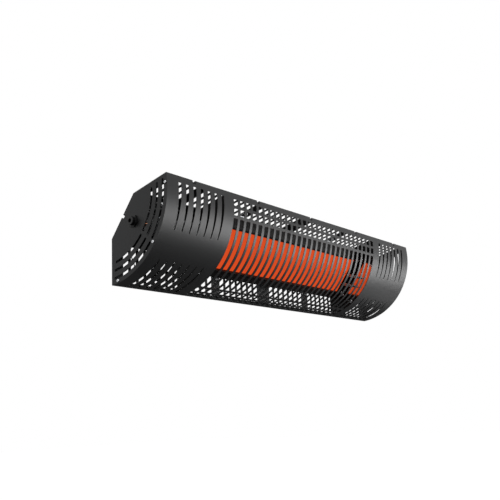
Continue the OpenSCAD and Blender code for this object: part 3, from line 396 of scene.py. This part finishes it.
# Pierced sheet: a grid of the outer face, the same grid one thickness in, and in place of each cell four
# rings round its slot, which carry the rounded edge down to the wall of the cut and up again. The face leans
# back by the slope of its rise, taken over a tiny step.
def piercedSheet(uLines, vLines, cells, section, place, turn, edge, rise=lambda u, v: 0 * u):
    thick, tiny = section["thick"], 0.01
    nU, nV = len(uLines), len(vLines)

    def facing(u, v):
        slopeU = (rise(u + tiny, v) - rise(u - tiny, v)) / (2 * tiny)
        slopeV = (rise(u, v + tiny) - rise(u, v - tiny)) / (2 * tiny)
        lean = slopeV[:, None] * sectionAt(section, "along", v)
        out = turn(-slopeU, sectionAt(section, "normal", v) - lean)
        return out / np.linalg.norm(out, axis=1, keepdims=True)

    gridU, gridV = (g.ravel() for g in np.meshgrid(uLines, vLines, indexing="ij"))
    faceN = facing(gridU, gridV)
    points = [place(gridU, gridV, 0 * gridU), place(gridU, gridV, 0 * gridU + thick)]
    normals = [faceN, -faceN]
    used = 2 * nU * nV
    index = np.arange(nU * nV).reshape(nU, nV)
    covered = np.zeros((nU - 1, nV - 1), bool)
    quads = []
    for cell in cells:
        a, b, c, d = cell["at"]
        covered[a:b, c:d] = True
        iu, iv, u, v, nu, nv = slotRing(uLines, vLines, cell)
        count = len(u)
        flat = facing(u, v)
        wall = turn(-nu, -nv[:, None] * sectionAt(section, "along", v))
        rings = [(edge, 0.0, flat), (0.0, edge, wall), (0.0, thick - edge, wall), (edge, thick, -flat)]
        loops = [index[iu, iv]]
        for aside, depth, ahead in rings:
            points.append(place(u + aside * nu, v + aside * nv, np.full(count, depth)))
            normals.append(ahead)
            loops.append(used + np.arange(count))
            used += count
        loops.append(index[iu, iv] + nU * nV)
        for p, q in zip(loops[:-1], loops[1:]):
            quads.append(np.stack([p, np.roll(p, -1), np.roll(q, -1), q], 1))
    points, normals = np.concatenate(points), np.concatenate(normals)
    plain = np.argwhere(~covered)
    square = np.stack([index[plain[:, 0] + i, plain[:, 1] + j]
                       for i, j in ((0, 0), (1, 0), (1, 1), (0, 1))], 1)
    quads = np.concatenate([square, square + nU * nV] + quads)
    corners = normals[quads]
    rims = []
    for i, side in ((0, -1), (nU - 1, 1)):
        rims.append((index[i], turn(np.full(1, float(side)), np.zeros((1, 2)))))
    for j, side in ((0, -1), (nV - 1, 1)):
        rims.append((index[:, j], turn(np.zeros(1), side * sectionAt(section, "along", vLines[j:j + 1]))))
    for line, ahead in rims:
        rim = np.column_stack([line[:-1], line[1:], line[1:] + nU * nV, line[:-1] + nU * nV])
        quads = np.concatenate([quads, rim])
        corners = np.concatenate([corners, np.broadcast_to(ahead[:, None], (*rim.shape, 3))])
    p = points[quads]
    ahead = np.cross(p[:, 2] - p[:, 0], p[:, 3] - p[:, 1])
    wrong = np.einsum("ij,ij->i", ahead, corners.sum(1)) < 0
    quads[wrong], corners[wrong] = quads[wrong][:, ::-1], corners[wrong][:, ::-1]
    return points, quads, corners


# Mesh from arrays: unused points are dropped, and each face corner may bring its own normal
def newPiece(name, points, quads, finish, corners=None):
    used, quads = np.unique(quads, return_inverse=True)
    quads = quads.reshape(-1, 4)
    mesh = bpy.data.meshes.new(name)
    mesh.vertices.add(len(used))
    mesh.vertices.foreach_set("co", points[used].astype(np.float32).ravel())
    mesh.loops.add(quads.size)
    mesh.loops.foreach_set("vertex_index", quads.astype(np.int32).ravel())
    mesh.polygons.add(len(quads))
    mesh.polygons.foreach_set("loop_start", np.arange(0, quads.size, 4, dtype=np.int32))
    mesh.update(calc_edges=True)
    mesh.shade_smooth()
    if corners is not None:
        mesh.normals_split_custom_set(corners.reshape(-1, 3).tolist())
    mesh.materials.append(finish)
    obj = bpy.data.objects.new(name, mesh)
    bpy.context.collection.objects.link(obj)
    return obj, used


# Front cover, in millimetres along the sheet: u along the heater, v round the section from its middle.
# A row of cuts has the ends of the cut and the ends of the grid cell round it.
cover = {
    "end": 578.5,            # half its length, between the end plates
    "lipEnd": 138.0,         # the lips stop this far from the middle
    "crown": 0.5,            # the arc stands out this much more at mid-length
    "pitch": 25.0,
    "columns": 44,
    "sideColumns": 7,
    "slotWidth": 15.6,       # as the photo shows it; the solids have 13.5
    "longRow": ((-103.5, 103.5), (-107.2, 107.2)),
    "rows": (((135.3, 152.3), (131.6, 156.0)), ((110.9, 127.9), (107.2, 131.6))),
    "corner": 1.5,
    "sideRow": ((39.3, 152.3), (36.0, 156.0)),
    "sideWidth": 9.0,
    "sideTip": 2.2,
    "sideBend": 117.0,       # the side slots narrow from here to their tips
    "notches": (-488.0, -244.0, 0.0, 244.0, 488.0),
    "notchRow": ((160.0, 174.67), (156.0, 178.5)),
    "notchWidth": 9.0,
    "notchMargin": 0.5,      # least distance from a notch to the sides of its cell
    "smallCorner": 1.0,
    "edge": 0.35,
    "foldRadius": 0.8,
    "squeeze": 10.0,
    # grid lines of a column about its middle, and of the sheet on one side of its middle, where the fold
    # lies at 168.66
    "columnLines": (-9.6, -6.75, 0.0, 6.75, 9.6),
    "lines": (0, 9, 18, 27, 36, 40.3, 48, 56, 64, 72, 80, 88, 96, 102, 104.6, 107.2, 109.8, 112.4, 119.4,
              126.4, 129, 131.6, 134.2, 136.8, 143.8, 150.8, 153.4, 156, 158.5, 161, 164, 166.84, 167.75,
              168.66, 169.57, 170.48, 173.67, 176, 178.5),
    "lug": (14.0, 11.0),     # screw lugs behind the end plates: along the arc and inwards
    "lugAngles": (-41.0, 0.0, 41.0),
    "lugHole": 1.7,
    "lugEdge": 0.15,
    "lugLines": (-1.7, -0.9, -0.4, 0.0, 0.4, 0.9, 1.7),    # grid lines about the hole, in hole radii
}


# A section of two lips and the arc, drawn out along u and pierced column by column. The crown falls off in a
# straight line to both ends of the heater, and from the squeeze to each fold. A side slot narrows in a
# straight line from its bend to its tip.
def makeCover():
    radius, half = arcR / mm, math.asin(heater["chord"] / 2 / arcR)
    chord, stop, thick = heater["chord"] / mm / 2, cover["lipEnd"], heater["sheet"] / mm
    section = foldedSection([lineLeg((0, -stop), (0, -chord), (1, 0)), arcLeg((arcY / mm, 0.0), radius, half),
                             lineLeg((0, chord), (0, stop), (1, 0))],
                            thick, cover["foldRadius"], cover["squeeze"])
    fold, last = radius * half, section["v"][-1]

    def place(u, v, depth):
        share = (depth / thick)[:, None]
        p = (1 - share) * sectionAt(section, "outer", v) + share * sectionAt(section, "inner", v)
        fade = np.clip((fold - np.abs(v)) / cover["squeeze"], 0, 1)
        crown = cover["crown"] * (1 - np.abs(u) / cover["end"]) * fade
        p = p + crown[:, None] * sectionAt(section, "normal", v)
        return mounted(np.column_stack([u, p]) * mm)

    def turn(u, yz):
        return leaned(u, yz[:, 0], yz[:, 1])

    columnAt = (np.arange(cover["columns"]) - (cover["columns"] - 1) / 2) * cover["pitch"]
    columnLines = np.array(cover["columnLines"])
    uLines = np.unique(np.round(np.concatenate([
        (columnAt[:, None] + columnLines).ravel(), columnAt + cover["pitch"] / 2,
        columnAt[:1] - cover["pitch"] / 2, [-cover["end"], cover["end"]]]), 4))
    upper = np.array([*cover["lines"], last])
    vLines = np.unique(np.round(np.concatenate([upper, -upper]), 4))
    cells = []

    # The row lies on the upper half of the sheet, or mirrored on the lower one where up is -1
    def addCut(x, beside, row, up, width, corner, **more):
        (low, high), ends = (sorted(up * v for v in part) for part in row)
        at = [nearest(uLines, u) for u in beside] + [nearest(vLines, v) for v in ends]
        centre, size = (x, (low + high) / 2), (width / 2, (high - low) / 2)
        cells.append({"at": at, "centre": centre, "half": size, "corner": corner, **more})

    def narrow(v):
        ends = (cover["sideRow"][0][0], cover["sideBend"])
        return np.interp(np.abs(v), ends, (cover["sideTip"] / cover["sideWidth"], 1))

    for k, x in enumerate(columnAt):
        side = min(k, cover["columns"] - 1 - k)
        beside = (x + columnLines[0], x + columnLines[-1])
        if side > cover["sideColumns"]:
            addCut(x, beside, cover["longRow"], 1, cover["slotWidth"], cover["corner"])
        for up in (-1, 1):
            if side > cover["sideColumns"]:
                for row in cover["rows"]:
                    addCut(x, beside, row, up, cover["slotWidth"], cover["corner"])
            elif side < cover["sideColumns"]:
                addCut(x, beside, cover["sideRow"], up, cover["sideWidth"], cover["smallCorner"],
                       narrow=narrow)
    for x in cover["notches"]:
        clear = uLines[np.abs(uLines - x) > cover["notchWidth"] / 2 + cover["notchMargin"]]
        beside = (clear[clear < x].max(), clear[clear > x].min())
        addCut(x, beside, cover["notchRow"], 1, cover["notchWidth"], cover["smallCorner"])
    points, quads, corners = piercedSheet(uLines, vLines, cells, section, place, turn, cover["edge"])
    piece = newPiece("arcCover", points, quads, materials["painted_dark"], corners)[0]
    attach(piece, "heater")
    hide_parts("front_cover")
    print("arc cover:", len(quads), "faces,", len(cells), "cuts")


makeCover()


# Lug: a small flat plate with a hole, u along the arc and v outwards from the middle of the plate
def makeLug(name, side, degrees):
    wide, tall = cover["lug"]
    thick = heater["sheet"] / mm
    top, a = arcR / mm - thick / 2, math.radians(degrees)
    section = foldedSection([lineLeg((cover["end"], top - tall), (cover["end"], top), (1, 0))], thick)

    def place(u, v, depth):
        p = sectionAt(section, "outer", v) - depth[:, None] * (1.0, 0.0)
        y = arcY / mm - p[:, 1] * math.cos(a) + u * math.sin(a)
        z = p[:, 1] * math.sin(a) + u * math.cos(a)
        return mounted(np.column_stack([side * p[:, 0], y, z]) * mm)

    def turn(u, xy):
        y = -xy[:, 1] * math.cos(a) + u * math.sin(a)
        z = xy[:, 1] * math.sin(a) + u * math.cos(a)
        return leaned(side * xy[:, 0], y, z)

    hole = cover["lugHole"]
    lines = np.array(cover["lugLines"]) * hole
    uLines = np.concatenate([[-wide / 2], lines, [wide / 2]])
    vLines = np.concatenate([[-tall / 2], lines, [tall / 2]])
    ends = [1, len(lines)]
    cells = [{"at": ends + ends, "centre": (0.0, 0.0), "half": (hole, hole), "corner": hole}]
    points, quads, corners = piercedSheet(uLines, vLines, cells, section, place, turn, cover["lugEdge"])
    piece = newPiece(name, points, quads, materials["painted_dark"], corners)[0]
    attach(piece, "heater")


for side in (-1, 1):
    for i, degrees in enumerate(cover["lugAngles"]):
        makeLug("coverLug%s%d" % ("Left" if side < 0 else "Right", i + 1), side, degrees)
print("cover lugs made")


# Frame round the plaques, in millimetres about the middle of its window: a flange with a skirt and a lip
burnerFrame = {
    "middle": -1.0,
    "window": (331.5, 59.5),
    "outside": (361.4, 86.0),
    "corner": (1.2, 3.0),    # radius at the window and at the outside
    "cornerPoints": 7,
    "sideSteps": 14,
    "sheet": 1.5,
    "flange": 6.5,           # depth of its front face
    "skirt": 16.0,
    "lip": -5.0,             # front of the lips along the row
    "endLip": 4.0,           # the lips at the ends stand lower, so that the plates mirror the whole row
    "blend": 10.0,
    "round": 0.4,            # radius of the bent edges
    "roundMiddle": 0.3,      # how far in the middle of a bent edge lies, as a share of that radius
}


# A closed profile swept round a closed path; the lip sinks by a smooth step towards each end
def makeBurnerFrame():
    f = burnerFrame
    (inX, inZ), (outX, outZ), (inR, outR) = f["window"], f["outside"], f["corner"]
    quarter = np.linspace(0, math.pi / 2, f["cornerPoints"])
    inner, outer, facing = [], [], []
    for k, (sx, sz) in enumerate(((1, 1), (-1, 1), (-1, -1), (1, -1))):
        a = quarter + k * math.pi / 2
        n = np.column_stack([np.cos(a), np.sin(a)])
        inner.append(np.array([sx * (inX - inR), sz * (inZ - inR)]) + inR * n)
        outer.append(np.array([sx * (outX - outR), sz * (outZ - outR)]) + outR * n)
        facing.append(n)

    def filled(parts):
        rows = np.concatenate(parts)
        t = np.linspace(0, 1, f["sideSteps"], endpoint=False)[None, :, None]
        return (rows[:, None] * (1 - t) + np.roll(rows, -1, 0)[:, None] * t).reshape(-1, 2)

    inner, outer, facing = filled(inner), filled(outer), filled(facing)
    facing /= np.linalg.norm(facing, axis=1, keepdims=True)
    t = np.clip((np.abs(inner[:, 0]) - inX + f["blend"]) / f["blend"], 0, 1)
    lip = f["lip"] + (f["endLip"] - f["lip"]) * t * t * (3 - 2 * t)
    r, w, m = f["round"], f["sheet"], f["roundMiddle"] * f["round"]
    flange, skirt = f["flange"], f["skirt"]
    profile = [
        (inner, 0, lip + r), (inner, m, lip + m), (inner, r, lip), (inner, w - r, lip),
        (inner, w - m, lip + m), (inner, w, lip + r), (inner, w, flange - r), (inner, w + r, flange),
        (outer, -r, flange), (outer, -m, flange + m), (outer, 0, flange + r), (outer, 0, skirt),
        (outer, -w, skirt), (outer, -w, flange + w), (inner, 0, flange + w)]
    rows = []
    for base, aside, y in profile:
        p = base + aside * facing
        rows.append(np.column_stack([p[:, 0], np.broadcast_to(y, len(p)), p[:, 1] + f["middle"]]))
    points = np.concatenate(rows)
    index = np.arange(len(points)).reshape(len(profile), -1)
    down, over = np.roll(index, -1, 0), np.roll(index, -1, 1)
    quads = np.stack([index, down, np.roll(down, -1, 1), over], -1).reshape(-1, 4)
    piece = newPiece("burnerWindow", mounted(points * mm), quads, materials["frame_dark"])[0]
    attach(piece, "heater")
    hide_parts("burner_frame")


makeBurnerFrame()
print("burner frame made")


# Polished plates beside the burner, in millimetres: thin sheet, so not quite flat
reflector = {
    "x": 361.1,              # polished face
    "thick": 0.8,
    "y": (-45.0, 5.0),
    "front": -63.0,          # the front extension follows the arc of the cover
    "z": 72.0,
    "steps": (36, 8),        # of the grid, up and across
    "ripple": 0.05,          # height of the slow wave of the sheet
    "wave": 62.0,            # its length along the height
    "across": 0.8,           # waves across the width for each one along the height
    "phase": 0.6,
    "reach": 1.2,            # gap left between the front extension and the cover
    "insulators": (9.0, -24.0),
    "insulatorY": -12.0,
    "hole": 6.6,
    "holeLines": (-1.7, -1.3, -0.8, -0.4, 0.0, 0.4, 0.8, 1.3, 1.7),    # about a hole, in hole radii
    "edge": 0.2,
}


# The sheet waves by a sine along its height times a cosine across its width. A curved one is stretched
# forwards, each point in proportion, until its front edge lies on a circle just inside the cover.
def mirrorPlate(name, side, y0, y1, holes=(), curved=False):
    middle, half = (y0 + y1) / 2, (y1 - y0) / 2
    face = lineLeg((reflector["x"], y0), (reflector["x"], y1), (-1, 0))
    section = foldedSection([face], reflector["thick"])

    def rise(u, v):
        k = 2 * math.pi / reflector["wave"]
        along = np.sin(k * u + reflector["phase"])
        return reflector["ripple"] * along * np.cos(reflector["across"] * k * (v + middle))

    def place(u, v, depth):
        p = sectionAt(section, "outer", v) + (depth - rise(u, v))[:, None] * (1.0, 0.0)
        if curved:
            inside = arcR / mm - heater["sheet"] / mm - reflector["reach"]
            front = arcY / mm - np.sqrt(inside ** 2 - u ** 2)
            p[:, 1] = y1 - (y1 - p[:, 1]) / (y1 - y0) * (y1 - front)
        return mounted(np.column_stack([side * p[:, 0], p[:, 1], u]) * mm)

    def turn(u, xy):
        return leaned(side * xy[:, 0], xy[:, 1], u)

    hole, across = reflector["hole"], reflector["insulatorY"] - middle
    around = hole * np.array(reflector["holeLines"])
    tall, (rows, columns) = reflector["z"], reflector["steps"]
    uLines = np.concatenate([np.linspace(-tall, tall, rows + 1)] + [z + around for z in holes])
    vLines = np.concatenate([np.linspace(-half, half, columns + 1)] + [across + around for z in holes])
    uLines, vLines = (np.unique(np.round(lines, 3)) for lines in (uLines, vLines))
    cells = []
    ends = around[[0, -1]]
    for z in holes:
        at = [nearest(uLines, z + end) for end in ends] + [nearest(vLines, across + end) for end in ends]
        cells.append({"at": at, "centre": (z, across), "half": (hole, hole), "corner": hole})
    points, quads, corners = piercedSheet(uLines, vLines, cells, section, place, turn,
                                          reflector["edge"], rise)
    piece = newPiece(name, points, quads, materials["polished_sheet"], corners)[0]
    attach(piece, "heater")
    return piece


for sideName, side, holes in (("right", 1, reflector["insulators"]), ("left", -1, ())):
    back = mirrorPlate(sideName + "Mirror", side, *reflector["y"], holes)
    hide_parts(sideName + "_reflector")
    mirrorPlate(sideName + "MirrorFront", side, reflector["front"], reflector["y"][0], curved=True)
print("reflectors made")


# Ceramic plaques, in millimetres: a face of waffle grooves and fine flame ports on a plain block
plaque = {
    "count": 7,
    "left": -338.0,
    "step": 97.0,
    "width": 94.0,
    "height": (-67.0, 65.0),
    "front": 8.0,
    "back": 21.0,
    "ports": (36, 50),       # along and up one plaque
    "samples": 4,            # grid steps from port to port
    "portDepth": 0.8,
    "portPower": 1.5,
    "portCooling": 0.75,     # heat lost at the bottom of a port, and gained in a groove
    "grooveHeating": 0.5,
    "grooves": (7, 10),
    "grooveHalf": 0.8,
    "grooveDepth": 1.0,
    "chamfer": 0.5,
}


# Depth of the face: a round well at each port, the product of two raised cosines to a power, a V of grooves
# between the waffle fields, and a chamfer along the edge. The heat is 1, less in the wells and more in the V.
def makePlaque(i):
    (portsX, portsZ), n = plaque["ports"], plaque["samples"]
    z0, z1 = plaque["height"]
    u, v = np.linspace(0, plaque["width"], portsX * n + 1), np.linspace(0, z1 - z0, portsZ * n + 1)
    gridU, gridV = np.meshgrid(u, v, indexing="ij")

    def wells(x, size, count):
        return 0.5 - 0.5 * np.cos(2 * math.pi * x * count / size)

    def groove(x, size, count):
        t = x * count / size
        off = np.abs(t - np.round(t)) * size / count
        inner = (np.round(t) > 0) & (np.round(t) < count)
        return np.where(inner, np.clip(1 - off / plaque["grooveHalf"], 0, 1), 0)

    port = (wells(gridU, plaque["width"], portsX) * wells(gridV, z1 - z0, portsZ)) ** plaque["portPower"]
    cut = np.maximum(groove(gridU, plaque["width"], plaque["grooves"][0]),
                     groove(gridV, z1 - z0, plaque["grooves"][1]))
    border = np.zeros(gridU.shape, bool)
    border[[0, -1]] = border[:, [0, -1]] = True
    depth = plaque["portDepth"] * port * (1 - cut) + plaque["grooveDepth"] * cut
    depth = np.where(border, plaque["chamfer"], depth)
    left = plaque["left"] + i * plaque["step"]
    face = np.stack([left + gridU, plaque["front"] + depth, z0 + gridV], -1).reshape(-1, 3)
    index = np.arange(gridU.size).reshape(gridU.shape)
    loop = np.concatenate([index[:-1, 0], index[-1, :-1], index[:0:-1, -1], index[0, :0:-1]])
    back = face[loop] * (1, 0, 1) + (0, plaque["back"], 0)
    behind = gridU.size + np.arange(len(loop))
    centre = np.array([[left + plaque["width"] / 2, plaque["back"], (z0 + z1) / 2]])
    square = np.stack([index[:-1, :-1], index[1:, :-1], index[1:, 1:], index[:-1, 1:]], -1).reshape(-1, 4)
    sides = np.stack([loop, behind, np.roll(behind, -1), np.roll(loop, -1)], 1)
    fan = np.stack([behind[::2], np.full(len(loop) // 2, behind[-1] + 1), np.roll(behind, -2)[::2],
                    np.roll(behind, -1)[::2]], 1)
    points = mounted(np.concatenate([face, back, centre]) * mm)
    heat = 1 - plaque["portCooling"] * port + plaque["grooveHeating"] * cut
    heat = np.concatenate([heat.ravel(), np.zeros(len(loop) + 1)])
    piece, used = newPiece("plaque%d" % (i + 1), points, np.concatenate([square, sides, fan]),
                           materials["glowing_ceramic"])
    values = piece.data.attributes.new("heat", "FLOAT", "POINT").data
    values.foreach_set("value", heat[used].astype(np.float32))
    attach(piece, "heater")
    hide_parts("ceramic_plaque_%d" % (i + 1))


for i in range(plaque["count"]):
    makePlaque(i)
print("plaques:", plaque["count"])


# Studio: white to the camera and in mirrors and glass, while little of that light falls on the object
studio = {
    "floor": -1.30,
    "floorHalf": 30.0,
    "floorPaint": (0.9, 0.9, 0.9),
    "floorGlow": 0.92,       # what the camera sees of the floor on top of its lit colour
    "floorBounce": (0.22, 0.22, 0.22),    # what it gives back to the object
    "white": 1.0,
    "ambient": 0.13,
    # name: place, aim, width, height, watts
    "lamps": {
        "keyRight": ((2.2, -2.3, -0.50), (0.1, -0.15, 0.05), 2.6, 1.15, 92.0),
        "lowRight": ((2.3, -0.5, -0.85), (0.5, -0.1, 0.05), 0.9, 0.6, 2.0),
        "fillLeft": ((-2.6, -0.6, 0.8), (-0.5, -0.1, 0.0), 1.2, 1.2, 8.0),
        "top": ((0.2, -1.2, 2.4), (0.0, -0.1, 0.0), 2.4, 1.2, 8.0),
        "rear": ((0.6, 2.6, 1.2), (0.0, 0.0, 0.1), 2.0, 1.2, 26.0),
    },
}


def whiteWorld():
    world = bpy.data.worlds.new("studioWorld")
    world.use_nodes = True
    tree = world.node_tree
    tree.nodes.clear()
    out = addNode(tree, "ShaderNodeOutputWorld")
    path = addNode(tree, "ShaderNodeLightPath")
    direct = addMath(tree, "ADD", path.outputs["Is Camera Ray"], path.outputs["Is Glossy Ray"], clamp=True)
    shown = addMath(tree, "ADD", direct, path.outputs["Is Transmission Ray"], clamp=True)
    mix = addNode(tree, "ShaderNodeMixShader")
    tree.links.new(shown, mix.inputs["Fac"])
    for i, key in ((1, "ambient"), (2, "white")):
        light = setInputs(addNode(tree, "ShaderNodeBackground"), Color=(1, 1, 1, 1), Strength=studio[key])
        tree.links.new(light.outputs[0], mix.inputs[i])
    tree.links.new(mix.outputs[0], out.inputs["Surface"])
    bpy.context.scene.world = world


def makeLamps():
    for name, (place, aim, width, height, watts) in studio["lamps"].items():
        light = bpy.data.lights.new(name, "AREA")
        light.shape = "RECTANGLE"
        light.size = width
        light.size_y = height
        light.energy = watts
        obj = bpy.data.objects.new(name, light)
        bpy.context.collection.objects.link(obj)
        obj.location = place
        obj.rotation_euler = (Vector(aim) - Vector(place)).to_track_quat("-Z", "Y").to_euler()


def makeFloor():
    half, z = studio["floorHalf"], studio["floor"]
    mesh = bpy.data.meshes.new("studioFloor")
    corners = [(-half, -half, z), (half, -half, z), (half, half, z), (-half, half, z)]
    mesh.from_pydata(corners, [], [(0, 1, 2, 3)])
    obj = bpy.data.objects.new("studioFloor", mesh)
    bpy.context.collection.objects.link(obj)
    mat, bsdf = newMaterial("floorPaint")
    tree = mat.node_tree
    setInputs(bsdf, **{"Roughness": 1.0, "Specular IOR Level": 0.0, "Emission Color": (1, 1, 1, 1)})
    path = addNode(tree, "ShaderNodeLightPath")
    paint = addNode(tree, "ShaderNodeMix", data_type="RGBA")
    tree.links.new(path.outputs["Is Camera Ray"], paint.inputs["Factor"])
    for key, colour in (("A", "floorBounce"), ("B", "floorPaint")):
        paint.inputs[key].default_value = (*studio[colour], 1)
    tree.links.new(paint.outputs["Result"], bsdf.inputs["Base Color"])
    glow = addMath(tree, "MULTIPLY", path.outputs["Is Camera Ray"], studio["floorGlow"])
    tree.links.new(glow, bsdf.inputs["Emission Strength"])
    mesh.materials.append(mat)


whiteWorld()
makeLamps()
makeFloor()
bpy.context.scene.view_settings.view_transform = "Standard"
print("studio made")
